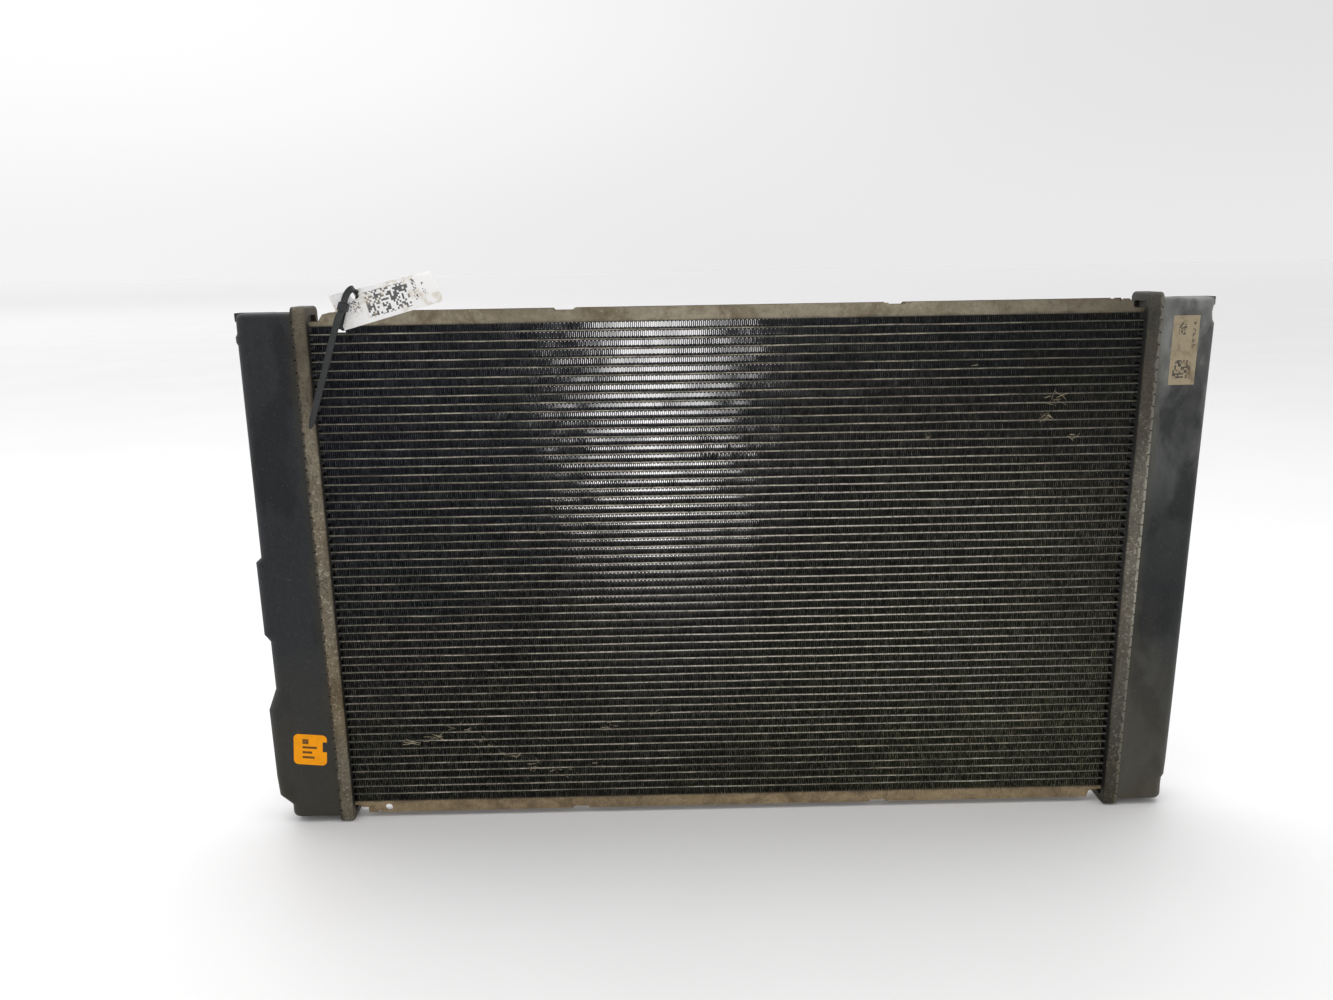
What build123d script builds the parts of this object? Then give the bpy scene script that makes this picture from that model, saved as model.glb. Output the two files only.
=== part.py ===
from build123d import *
import math
import os

# Crossflow car radiator: an aluminium core of flat tubes and corrugated fins between two header
# trays, a black plastic tank crimped on each tray, and a channel side plate above and below.
# Millimetres. +X is to the right as seen from the front, -Y is the front, +Z is up.
# The sub-parts are drawn about the core's mid-plane with Z = 0 at the core's lower edge, and
# moved to the part's own origin, at the middle of the base, when they are written.

# Core
core_width = 640.0           # between the inner edges of the two header trays
core_height = 400.0          # between the two side plates
core_depth = 16.0
tube_count = 57
tube_thickness = 1.8
tube_wall = 0.3
tube_past_floor = 2.5        # how far a tube stands through the header floor
fin_gap = 3.0                # header edge to the first fin
foil = 0.08                  # thickness of the real fin foil
real_leg_spacing = 1.574     # spacing of the real fin's legs
drawn_legs = 64              # legs drawn in one row, thicker, with the real row's volume
braze_gap = 0.01
bank_count = 6               # tubes and fin rows are kept in banks from the bottom up

# Header trays
header_depth = 32.0
header_reach = 11.0          # width of the strip seen from the front
header_overhang = 15.5       # beyond the core at the top and the bottom
sheet = 1.5
rim_width = 6.7              # gasket groove and its walls, seen from the core
floor_recess = 3.5           # core-side step from the rim down to the tube floor
rib_radius = 2.4
slot_clearance = 0.05
crimp_height = 9.45          # where the tabs fold over the tank's foot
crimp_hook = 1.4
tab_pitch = 9.5
tab_gap = 1.0
corner_radius = 5.0
edge_radius = 2.2

# Tanks
tank_depth = 29.6
tank_wall = 2.6
tank_start = 11.3            # outboard of the header's inner edge
tank_top = core_height + 11.0
tank_bottom = -11.3
tank_corner = 9.0
foot_height = 5.35
foot_clearance = 0.1
waist_depth = 25.8
ear_reach = 380.0
ear_thickness = 2.2
ear_drop = 6.5

# Hose necks on the tanks' rear faces
neck_radius = 17.0
neck_bore = 13.5
neck_end = 60.0
neck_lead = 1.2              # chamfer at the neck's open end
neck_x = 352.0
inlet_z = 345.0              # right tank
outlet_z = 60.0              # left tank

# Fan shroud bosses on the tanks' rear faces
boss_x = 345.0
boss_heights = (115.0, 285.0)
boss_radius = 6.0
boss_length = 8.0
boss_hole = 2.2

# Drain cock on the right tank's rear face
drain_x = 352.0
drain_z = 22.0
drain_stem = 5.0
drain_clearance = 0.05
drain_boss = 9.0
drain_boss_end = 22.8

# Side plates
plate_sheet = 1.2
plate_height = 10.9
plate_depth = 16.4
plate_step = 3.8              # height of the ends that go in under the header trays
plate_hole = 6.0
plate_hole_x = -291.5
plate_hole_drop = 6.3        # from the core's edge to the hole's middle
notch_depth = 1.6
notch_slope = 1.5
top_notches = ((-126.0, 17.0), (130.0, 15.0))       # (middle, width)
bottom_notches = ((-127.0, 15.0), (127.5, 15.0))

# Cable tie and tag
tie_width = 4.8
tie_thickness = 1.2
tie_head_x = -291.4
tie_head_z = 414.9
tail_lean = 19.0             # degrees from upright, the top leaning right
loop_lean = 42.0
loop_low = -24.4             # the loop's lowest point, down the lean from the head
loop_high = 19.0
tie_front = 20.0             # foremost face of the tail
tag_corners = ((-303.0, 423.3), (-292.8, 397.2), (-213.4, 418.6), (-225.2, 440.2))
tag_thickness = 0.3
tag_hole = 3.6
tag_hole_rise = 12.4         # from the head up the loop's lean
tag_y = 8.45                 # its back face stands this far in front of the core's mid-plane

# Stickers
sticker_thickness = 0.15
sticker_size = 27.5
sticker_x = -351.0
sticker_z = 52.0
label_size = (20.2, 53.0)
label_x = 350.4
label_z = 371.2

# Worked out
half = core_width / 2
pitch = (core_height + tube_thickness) / (tube_count + 1)
fin_height = pitch - tube_thickness
header_z = (-header_overhang, core_height + header_overhang)
header_length = header_z[1] - header_z[0]
mid_z = core_height / 2
tank_y = tank_depth / 2
base_y = (neck_end - tie_front) / 2
to_origin = Pos(0, -base_y, header_overhang)


def tube_z(i):
    """Height of tube i's middle, from the core's lower edge; i runs from 0 at the bottom."""
    return pitch * (i + 1) - tube_thickness / 2


def block(x, y, z):
    """A box from (low, high) pairs."""
    size = [b - a for a, b in (x, y, z)]
    middle = [(a + b) / 2 for a, b in (x, y, z)]
    return Pos(*middle) * Box(*size)


def outboard(side, near, far):
    """X range of a stretch measured outboard from a header's inner edge."""
    a, b = side * (half + near), side * (half + far)
    return min(a, b), max(a, b)


def rod(radius, x, z, y_from, y_to):
    """A round bar along Y."""
    return Pos(x, (y_from + y_to) / 2, z) * Rot(90, 0, 0) * Cylinder(radius, y_to - y_from)


def tubes(first, last):
    """Flat tubes first to last - 1, each a hollow stadium through both headers."""
    length = 2 * (half + floor_recess + sheet + tube_past_floor)
    outline = SlotOverall(core_depth, tube_thickness)
    bore = SlotOverall(core_depth - 2 * tube_wall, tube_thickness - 2 * tube_wall)
    plane = Plane(origin=(-length / 2, 0, 0), x_dir=(0, 1, 0), z_dir=(1, 0, 0))
    tube = extrude(plane * (outline - bore), length)
    return [Pos(0, 0, tube_z(i)) * tube for i in range(first, last)]


def fin_row():
    """One corrugated row: its drawn legs hold the same volume as the real, finer ones."""
    run = half - fin_gap
    real_legs = 2 * run / real_leg_spacing
    leg_length = fin_height - real_leg_spacing + math.pi / 2 * real_leg_spacing
    half_strip = real_legs * leg_length * foil / (2 * run) / 2
    reach = fin_height / 2 - half_strip - braze_gap
    step = 2 * run / drawn_legs
    crests = [(-run + i * step, reach * (-1) ** i) for i in range(drawn_legs + 1)]
    upper = [(x, z + half_strip) for x, z in crests]
    lower = [(x, z - half_strip) for x, z in reversed(crests)]
    ribbon = make_face(Polyline(*upper, *lower, close=True))
    return extrude(Plane.XZ * ribbon, core_depth / 2 - 0.1, both=True)


def fins(first, last, row):
    """Fin rows first to last - 1. The top row is parted where the cable tie goes through it."""
    rows = [Pos(0, 0, pitch * i + fin_height / 2) * row for i in range(first, last)]
    if last == tube_count + 1:
        x, _ = up_lean(loop_low, loop_lean)
        way = block((x - 4.5, x + 4.5), (-20, 20), (core_height - pitch, core_height + 1))
        rows += (rows.pop() - way).solids()
    return rows


def header(side):
    """Stamped tray: gasket groove round the rim, recessed ribbed tube floor, crimp tabs."""
    y = header_depth / 2
    shell = block(outboard(side, 0, header_reach), (-y, y), header_z)
    shell = fillet(shell.edges().filter_by(Axis.X), corner_radius)
    inner_face = shell.faces().sort_by(Axis.X)[-1 if side < 0 else 0]
    shell = fillet(inner_face.edges(), edge_radius)

    def inside(inset, near, far, radius):
        cut = block(outboard(side, near, far), (inset - y, y - inset),
                    (header_z[0] + inset, header_z[1] - inset))
        return fillet(cut.edges().filter_by(Axis.X), radius)

    floor_top = floor_recess + sheet
    island = rim_width - sheet
    shell -= inside(sheet, sheet, crimp_height, corner_radius - sheet)
    shell -= inside(sheet + crimp_hook, crimp_height - 1, header_reach + 1, 2.0)
    shell += inside(island, 0.5, floor_top, 2.0)
    shell -= inside(rim_width, -1, floor_recess, 1.5)

    floor_y = y - rim_width
    gaps = [tube_z(i) + pitch / 2 for i in range(tube_count - 1)]
    x_floor = side * (half + floor_recess)
    bumps = [Pos(x_floor, 0, z) * Rot(90, 0, 0) * Cylinder(rib_radius, 2 * floor_y) for z in gaps]
    keep = block(outboard(side, 0, floor_recess + 0.5), (-floor_y, floor_y), header_z)
    shell += [bump & keep for bump in bumps]

    slot = SlotOverall(core_depth + 2 * slot_clearance, tube_thickness + 2 * slot_clearance)
    plane = Plane(origin=(outboard(side, -1, 9)[0], 0, 0), x_dir=(0, 1, 0), z_dir=(1, 0, 0))
    shell -= [Pos(0, 0, tube_z(i)) * extrude(plane * slot, 10) for i in range(tube_count)]

    count = int((header_length - 2 * corner_radius) / tab_pitch)
    tab_edge = outboard(side, crimp_height + 0.05, header_reach + 1)
    for step in range(count):
        z = mid_z + (step - (count - 1) / 2) * tab_pitch
        shell -= block(tab_edge, (-y - 1, y + 1), (z - tab_gap / 2, z + tab_gap / 2))
    return shell


def gasket(side):
    """Rubber ring at the bottom of the header's groove, under the tank's foot."""
    y = header_depth / 2

    def layer(inset):
        return block(outboard(side, sheet + 0.02, sheet + 2.5), (inset - y, y - inset),
                     (header_z[0] + inset, header_z[1] - inset))

    outer = fillet(layer(sheet + 0.1).edges().filter_by(Axis.X), corner_radius - sheet)
    return outer - layer(rim_width - sheet - 0.1)


def tank_section(side, outer_x, inset, z):
    """Level section of the tank: square towards the header, rounded outboard."""
    y = tank_y - inset
    near = side * (half + tank_start)
    far = side * (outer_x - inset)
    radius = max(tank_corner - inset, 1.0)
    middle = (near + far) / 2
    box = Pos(middle, 0) * Rectangle(abs(far - near), 2 * y)
    corners = box.vertices().sort_by(Axis.X)
    return Pos(0, 0, z) * fillet(corners[:2] if side < 0 else corners[-2:], radius)


def outer_line(side):
    """(height, half width) up a tank's outer edge, with its swells; measured from the core."""
    if side < 0:
        return [(tank_bottom, 373.5), (0.0, 373.2), (9.0, 383.2), (26.0, 384.2), (86.0, 384.3),
                (105.0, 376.7), (147.0, 376.6), (153.0, 381.1), (214.0, 381.1), (218.0, 376.6),
                (387.0, 375.6), (389.5, 376.8), (393.5, 376.8), (396.0, 375.4), (tank_top, 375.0)]
    return [(tank_bottom, 371.8), (2.0, 371.3), (8.0, 371.6), (11.0, 373.3), (26.0, 373.7),
            (100.0, 374.2), (250.0, 374.6), (355.0, 375.0), (391.0, 375.2), (394.0, 373.6),
            (400.0, 372.8), (tank_top, 374.4)]


def width_at(side, z):
    line = outer_line(side)
    for (z0, x0), (z1, x1) in zip(line, line[1:]):
        if z0 <= z <= z1:
            return x0 + (x1 - x0) * (z - z0) / (z1 - z0)
    return line[0][1] if z < line[0][0] else line[-1][1]


def tank_body(side, inset):
    """Ruled solid through the level sections, its two ends rounded off by a quarter circle."""
    end_radius = 4.0
    low, high = tank_bottom + inset, tank_top - inset
    rounding = [(end_radius * (1 - math.cos(a)), end_radius * (1 - math.sin(a)))
                for a in (math.radians(d) for d in (0, 22.5, 45, 67.5, 90))]
    levels = []
    for rise, draw in rounding:
        levels.append((low + rise, inset + draw))
    levels += [(z, inset) for z, _ in outer_line(side) if low + end_radius < z < high - end_radius]
    for rise, draw in reversed(rounding):
        levels.append((high - rise, inset + draw))
    sections = [tank_section(side, width_at(side, z), draw, z) for z, draw in levels]
    return loft(sections, ruled=True)


def tank(side):
    """Hollow moulded tank: body, waist under the crimp, foot in the groove, neck and bosses."""
    y = header_depth / 2
    foot_low = header_z[0] + sheet + foot_clearance
    foot_high = header_z[1] - sheet - foot_clearance
    foot_y = y - sheet - foot_clearance
    seat = sheet + 2.55
    foot = block(outboard(side, seat, seat + foot_height), (-foot_y, foot_y), (foot_low, foot_high))
    foot = fillet(foot.edges().filter_by(Axis.X), corner_radius - sheet)
    waist = block(outboard(side, seat + 1, tank_start + 1), (-waist_depth / 2, waist_depth / 2),
                  (tank_bottom + 0.4, tank_top + 0.8))
    waist = fillet(waist.edges().filter_by(Axis.X), 2.0)
    solid = tank_body(side, 0) + foot + waist
    solid += rear_features(side)
    solid += ear(side)
    inner_y = y - rim_width + sheet + 0.1
    inner_z = rim_width - sheet - 0.1
    mouth = block(outboard(side, seat - 1, tank_start + 0.1), (-inner_y, inner_y),
                  (header_z[0] + inner_z, header_z[1] - inner_z))
    throat = block(outboard(side, tank_start - 1, tank_start + 4), (-inner_y, inner_y),
                   (tank_bottom + 4.0, tank_top - 3.0))
    return solid - mouth - throat - tank_body(side, tank_wall) - rear_holes(side)


def ear(side):
    """Thin ear at the rear of the tank's top, its outer edge turned down."""
    x = sorted((side * 352.0, side * ear_reach))
    edge = sorted((side * (ear_reach - ear_thickness), side * ear_reach))
    plate = block(x, (2, tank_y), (tank_top - ear_thickness, tank_top))
    return plate + block(edge, (2, tank_y), (tank_top - ear_drop, tank_top))


def rear_features(side):
    """Hose neck, shroud bosses, stiffening ribs and, on the right, a drain boss."""
    z = inlet_z if side > 0 else outlet_z
    rear = tank_y - 1
    neck = rod(neck_radius, side * neck_x, z, rear, neck_end)
    solid = chamfer(neck.edges().filter_by(GeomType.CIRCLE).sort_by(Axis.Y)[-1], neck_lead)
    solid += rod(neck_radius + 3, side * neck_x, z, rear, tank_y + 3)
    for height in boss_heights:
        solid += rod(boss_radius, side * boss_x, height, rear, tank_y + boss_length)
    ribs = [r for r in range(-5, 395, 40) if abs(r - z) > neck_radius + 6]
    for r in ribs:
        if side < 0 or abs(r - drain_z) > drain_boss + 3:
            solid += block(sorted((side * 334, side * 366)), (rear, tank_y + 2.2), (r - 0.9, r + 0.9))
    if side > 0:
        solid += rod(drain_boss, drain_x, drain_z, rear, drain_boss_end)
    return solid


def rear_holes(side):
    z = inlet_z if side > 0 else outlet_z
    holes = rod(neck_bore, side * neck_x, z, 5, neck_end + 1)
    for height in boss_heights:
        holes += rod(boss_hole, side * boss_x, height, tank_y, tank_y + boss_length + 1)
    if side > 0:
        holes += rod(drain_stem + drain_clearance, drain_x, drain_z, 5, drain_boss_end + 1)
    return holes


def drain_plug():
    """Stem with an O-ring groove, a flange and a wing grip, screwed into the drain boss."""
    flange_y = drain_boss_end + 0.1
    plug = rod(drain_stem, drain_x, drain_z, tank_y - tank_wall, flange_y + 1)
    plug -= rod(drain_stem + 1, drain_x, drain_z, 16.0, 17.9) - rod(3.35, drain_x, drain_z, 15, 19)
    plug += rod(8.0, drain_x, drain_z, flange_y, flange_y + 2.4)
    grip = block((drain_x - 11, drain_x + 11), (flange_y + 2, flange_y + 13), (drain_z - 1.6, drain_z + 1.6))
    grip = fillet(grip.edges().filter_by(Axis.Z).sort_by(Axis.Y)[-2:], 5.0)
    hub = rod(4.2, drain_x, drain_z, flange_y + 2, flange_y + 9)
    return plug + grip + hub


def drain_ring():
    return Pos(drain_x, 16.95, drain_z) * Rot(90, 0, 0) * Torus(4.18, 0.8)


def plate_outline(top):
    """Front flange of a side plate, drawn as the top one: (x, height from the core's edge)."""
    reach, full = half + floor_recess, plate_height
    if top:
        left_end = [(-313.2, plate_step), (-311.8, 5.7), (-309.4, full - 1.5), (-303.0, full)]
        right_end = [(299.9, full), (301.8, full - 3.2), (303.4, full), (308.0, full), (310.6, 8.0),
                     (312.5, plate_step)]
        notches = top_notches
    else:
        left_end = [(-314.4, plate_step), (-314.4, 6.0), (-309.0, 6.0), (-309.0, full), (-301.4, full),
                    (-300.6, full - 1.8), (-299.0, full - 1.8), (-298.2, full)]
        right_end = [(308.3, full), (309.5, 5.5), (312.5, plate_step)]
        notches = bottom_notches
    points = [(-reach, 0), (-reach, plate_step), *left_end]
    for x, width in notches:
        near, far = x - width / 2, x + width / 2
        points += [(near, full), (near + notch_slope, full - notch_depth),
                   (far - notch_slope, full - notch_depth), (far, full)]
    points += [*right_end, (reach, plate_step), (reach, 0)]
    return make_face(Polyline(*points, close=True))


def side_plate(top):
    """Channel over the outer fin row: a web against the fins and a notched flange each side."""
    y = plate_depth / 2
    flange = extrude(Plane.XZ * plate_outline(top), -plate_sheet)
    reach = half + floor_recess
    web = block((-reach, reach), (-y, y), (0, plate_sheet))
    plate = web + Pos(0, y - plate_sheet, 0) * flange + Pos(0, -y, 0) * flange
    plate -= rod(plate_hole / 2, plate_hole_x, plate_hole_drop, -y - 1, -y + plate_sheet + 1)
    if top:
        return Pos(0, 0, core_height) * plate
    return mirror(plate, Plane.XY)


def up_lean(rise, lean):
    """(x, z) of a point up a line through the tie's head that leans by an angle from upright."""
    angle = math.radians(lean)
    return tie_head_x + rise * math.sin(angle), tie_head_z + rise * math.cos(angle)


def strap(outline, lean, width):
    """Extrudes (rise, distance to the front) outlines across the width of the leaning tie."""
    angle = math.radians(lean)
    across = (math.cos(angle), 0, -math.sin(angle))
    origin = (tie_head_x - across[0] * width / 2, 0, tie_head_z - across[2] * width / 2)
    plane = Plane(origin=origin, x_dir=(math.sin(angle), 0, math.cos(angle)), z_dir=across)
    return extrude(plane * outline, width)


def cable_tie():
    """Loop round the top side plate and through the tag, ratchet head in front, and the free tail."""
    loop = make_face(FilletPolyline((loop_low, 10.2), (10.6, 10.2), (loop_high, 2.0), (loop_high, -3.0),
                                    (10.0, -9.9), (loop_low, -9.9), radius=2.5, close=True))
    inner = tie_front - tie_thickness
    tail = make_face(Polyline((0, 12.5), (0, 14.2), (-7.3, 18.2), (-14.8, tie_front), (-94.8, tie_front),
                              (-96.8, inner), (-15.0, inner), (-7.8, 17.0), (-3.8, 12.5), close=True))
    head = Pos(0, 12.1) * RectangleRounded(7.5, 6.2, 1.0)
    band = strap(loop - offset(loop, -tie_thickness), loop_lean, tie_width)
    return strap(tail, tail_lean, tie_width) + strap(head, tail_lean, 7.2) + band


def paper_tag():
    """Card tag lying on the side plate's flange, out of square, with the tie through its hole."""
    card = make_face(FilletPolyline(*tag_corners, radius=1.0, close=True))
    card -= Pos(*up_lean(tag_hole_rise, loop_lean)) * Circle(tag_hole)
    return Pos(0, -tag_y, 0) * extrude(Plane.XZ * card, tag_thickness)


def front_sticker(outline, x, z, turn):
    """A thin layer on a tank's flat front face."""
    face = Pos(x, z) * Rot(0, 0, turn) * outline
    return Pos(0, -tank_y, 0) * extrude(Plane.XZ * face, sticker_thickness)


def orange_sticker():
    """Rounded square with a torn bite in its right edge."""
    bite = Pos(sticker_size / 2, 3.0) * Rectangle(7.0, 9.0)
    square = RectangleRounded(sticker_size, sticker_size, 4.0)
    return front_sticker(square - bite, sticker_x, sticker_z, -5.0)


def write(name, shapes):
    """Writes one node's STEP at the part's origin."""
    found = shapes if isinstance(shapes, list) else shapes.solids()
    placed = [to_origin * s for s in found]
    shape = placed[0] if len(placed) == 1 else Compound(children=placed)
    export_step(shape, f"parts/{name}.step")


os.makedirs("parts", exist_ok=True)
row = fin_row()
tube_bank = math.ceil(tube_count / bank_count)
row_bank = math.ceil((tube_count + 1) / bank_count)
for bank in range(bank_count):
    write(f"tube_bank_{bank + 1}", tubes(bank * tube_bank, min((bank + 1) * tube_bank, tube_count)))
    write(f"fin_bank_{bank + 1}", fins(bank * row_bank, min((bank + 1) * row_bank, tube_count + 1), row))
for side, name in ((-1, "left"), (1, "right")):
    write(f"{name}_header", header(side))
    write(f"{name}_gasket", gasket(side))
    write(f"{name}_tank", tank(side))
write("top_side_plate", side_plate(True))
write("bottom_side_plate", side_plate(False))
write("drain_plug", drain_plug())
write("drain_o_ring", drain_ring())
write("cable_tie", cable_tie())
write("paper_tag", paper_tag())
write("orange_sticker", orange_sticker())
write("inspection_label", front_sticker(Rectangle(*label_size), label_x, label_z, 0.0))
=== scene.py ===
import math
import random

import bmesh
import bpy
import numpy as np
from mathutils import Matrix, Vector, noise

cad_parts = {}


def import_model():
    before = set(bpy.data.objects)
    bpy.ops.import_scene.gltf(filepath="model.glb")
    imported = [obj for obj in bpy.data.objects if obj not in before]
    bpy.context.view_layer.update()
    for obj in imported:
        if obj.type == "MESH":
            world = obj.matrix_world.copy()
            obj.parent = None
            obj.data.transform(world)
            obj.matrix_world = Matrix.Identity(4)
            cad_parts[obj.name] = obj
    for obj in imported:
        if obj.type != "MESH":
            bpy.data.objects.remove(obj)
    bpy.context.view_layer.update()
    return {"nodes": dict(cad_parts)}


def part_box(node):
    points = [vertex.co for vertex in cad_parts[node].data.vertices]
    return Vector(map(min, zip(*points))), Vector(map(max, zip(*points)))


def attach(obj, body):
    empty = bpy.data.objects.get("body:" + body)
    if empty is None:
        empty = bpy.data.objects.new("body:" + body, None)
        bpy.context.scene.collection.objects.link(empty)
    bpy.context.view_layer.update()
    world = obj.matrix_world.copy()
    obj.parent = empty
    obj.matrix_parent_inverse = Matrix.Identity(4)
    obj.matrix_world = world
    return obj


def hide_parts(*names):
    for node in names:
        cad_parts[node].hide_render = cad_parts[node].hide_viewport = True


# Looks for a crossflow car radiator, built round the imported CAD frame. Metres throughout.

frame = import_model()
mm = 0.001
BODY = "radiator"

# Places read from the frame
half_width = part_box("right_header")[0].x           # core middle to a header's inner edge
core_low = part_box("bottom_side_plate")[1].z
core_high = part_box("top_side_plate")[0].z
core_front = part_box("tube_bank_1")[0].y
core_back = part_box("tube_bank_1")[1].y
mid_y = (core_front + core_back) / 2
plate_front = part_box("top_side_plate")[0].y
header_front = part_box("left_header")[0].y
header_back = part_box("left_header")[1].y

tie_crossing = -297 * mm             # where the tie passes under the top plate's front edge
neck_out = 352 * mm                  # core middle to a hose neck's axis
outlet_height = 60 * mm + core_low
inlet_height = 345 * mm + core_low

# Core
tube_count = 57
bank_rows = 10
banks = 6
tube_thickness = 1.8 * mm
pitch = (core_high - core_low + tube_thickness) / (tube_count + 1)
fin_height = pitch - tube_thickness
leg_spacing = 1.574 * mm
fin_run = half_width - 1.6 * mm
leg_thickness = 0.27 * mm            # a foil leg with its louvres
fin_depth = 14.0 * mm
fin_gap = 0.02 * mm                  # between a ribbon and the tube below or above it
fold_height = 0.55 * mm              # a fold beyond a leg's straight part
bent_lean = 1.1 * mm                 # most that neighbouring legs lean together, where they are damaged
loose_lean = 0.16 * mm               # a leg's own lean, as a standard deviation
leg_yaw = 0.30 * mm                  # most that neighbouring legs turn together, front against back
long_wave = 0.33 * mm                # most that a tube's nose wanders up and down
short_wave = 0.10 * mm
dent_depth = 0.12 * mm
tube_stations = 110                  # rings of points along a tube


# ---------------------------------------------------------------- mesh helpers

def new_mesh(name, points, faces):
    """Mesh object at the origin from an (n, 3) array of points and a list or array of faces."""
    mesh = bpy.data.meshes.new(name)
    points = np.asarray(points, np.float32)
    if isinstance(faces, np.ndarray):
        count, corners = faces.shape
        mesh.vertices.add(len(points))
        mesh.vertices.foreach_set("co", points.ravel())
        mesh.loops.add(count * corners)
        mesh.loops.foreach_set("vertex_index", faces.astype(np.int32).ravel())
        mesh.polygons.add(count)
        mesh.polygons.foreach_set("loop_start", np.arange(0, count * corners, corners, dtype=np.int32))
        mesh.update(calc_edges=True)
        mesh.validate()
    else:
        mesh.from_pydata(points.tolist(), [], faces)
    obj = bpy.data.objects.new(name, mesh)
    bpy.context.scene.collection.objects.link(obj)
    return obj


def finish_piece(obj, material, body=BODY, replaces=(), smooth=None):
    """Gives a new piece its material, shading and body, and hides the CAD nodes that it stands for."""
    obj.data.materials.clear()
    obj.data.materials.append(material)
    if smooth is not None:
        obj.data.polygons.foreach_set("use_smooth", [True] * len(obj.data.polygons))
        obj.data.set_sharp_from_angle(angle=math.radians(smooth))
    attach(obj, body)
    if replaces:
        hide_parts(*replaces)
    return obj


def apply_modifiers(obj):
    graph = bpy.context.evaluated_depsgraph_get()
    mesh = bpy.data.meshes.new_from_object(obj.evaluated_get(graph))
    obj.modifiers.clear()
    obj.data = mesh


def strip(sections):
    """Points and faces of a closed shape through equal rings of points, an array (sections, ring, 3)."""
    count, ring, _ = sections.shape
    s = np.arange(count - 1)[:, None]
    r = np.arange(ring)[None, :]
    following = (r + 1) % ring
    quads = np.stack([s * ring + r, s * ring + following, (s + 1) * ring + following,
                      (s + 1) * ring + r], -1).reshape(-1, 4)
    faces = [tuple(q) for q in quads.tolist()]
    faces.append(tuple(range(ring - 1, -1, -1)))
    faces.append(tuple(range((count - 1) * ring, count * ring)))
    return sections.reshape(-1, 3), faces


def smooth_noise(x, z, seed):
    """Perlin noise for two arrays of coordinates, about -1 to 1."""
    flat = [noise.noise(Vector((a, b, seed))) for a, b in zip(np.ravel(x), np.ravel(z))]
    return np.array(flat).reshape(np.shape(x))


# ---------------------------------------------------------------- material helpers

class Look:
    """A Principled material with short calls for its nodes."""

    def __init__(self, name, roughness=0.6, metallic=0.0, specular=0.5):
        self.mat = bpy.data.materials.new(name)
        self.mat.use_nodes = True
        self.tree = self.mat.node_tree
        self.bsdf = self.tree.nodes["Principled BSDF"]
        self.bsdf.inputs["Roughness"].default_value = roughness
        self.bsdf.inputs["Metallic"].default_value = metallic
        self.bsdf.inputs["Specular IOR Level"].default_value = specular
        self.place = self.tree.nodes.new("ShaderNodeTexCoord").outputs["Object"]

    def node(self, kind, inputs=(), **settings):
        made = self.tree.nodes.new(kind)
        for key, value in settings.items():
            setattr(made, key, value)
        for key, value in dict(inputs).items():
            self.feed(made.inputs[key], value)
        return made

    def feed(self, socket, value):
        if isinstance(value, bpy.types.NodeSocket):
            self.tree.links.new(value, socket)
        elif isinstance(value, (tuple, list)) and len(value) == 3 and socket.type == "RGBA":
            socket.default_value = (*value, 1.0)
        else:
            socket.default_value = value

    def moved(self, scale=(1, 1, 1), offset=(0, 0, 0), turn=(0, 0, 0)):
        made = self.node("ShaderNodeMapping", {"Vector": self.place, "Scale": scale,
                                               "Location": offset, "Rotation": turn})
        return made.outputs["Vector"]

    def noise(self, scale, detail=5.0, rough=0.6, vector=None, warp=0.0):
        made = self.node("ShaderNodeTexNoise", {"Vector": vector or self.place, "Scale": scale,
                                                "Detail": detail, "Roughness": rough, "Distortion": warp})
        return made.outputs["Fac"]

    def ramp(self, factor, *stops):
        made = self.node("ShaderNodeValToRGB", {"Fac": factor})
        points = made.color_ramp.elements
        while len(points) < len(stops):
            points.new(0.5)
        for point, (at, value) in zip(points, stops):
            point.position = at
            point.color = (*value, 1.0) if isinstance(value, tuple) else (value, value, value, 1.0)
        return made.outputs["Color"]

    def mix(self, factor, a, b, mode="MIX"):
        made = self.node("ShaderNodeMix", data_type="RGBA", blend_type=mode)
        self.feed(made.inputs["Factor"], factor)
        self.feed(made.inputs[6], a)
        self.feed(made.inputs[7], b)
        return made.outputs[2]

    def calc(self, operation, a, b=0.0, clamp=False):
        made = self.node("ShaderNodeMath", {0: a, 1: b}, operation=operation, use_clamp=clamp)
        return made.outputs[0]

    def axis(self, name, vector=None):
        made = self.node("ShaderNodeSeparateXYZ", {"Vector": vector or self.place})
        return made.outputs[name]

    def span(self, value, low, high):
        """value, from low to high, as 0 to 1."""
        made = self.node("ShaderNodeMapRange", {"Value": value, "From Min": low, "From Max": high})
        return made.outputs["Result"]

    def colour(self, value):
        self.feed(self.bsdf.inputs["Base Color"], value)

    def roughness(self, value):
        self.feed(self.bsdf.inputs["Roughness"], value)

    def bump(self, height, depth, strength=1.0):
        made = self.node("ShaderNodeBump", {"Height": height, "Distance": depth, "Strength": strength})
        if self.bsdf.inputs["Normal"].links:
            self.feed(made.inputs["Normal"], self.bsdf.inputs["Normal"].links[0].from_socket)
        self.feed(self.bsdf.inputs["Normal"], made.outputs["Normal"])


# ---------------------------------------------------------------- materials

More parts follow.
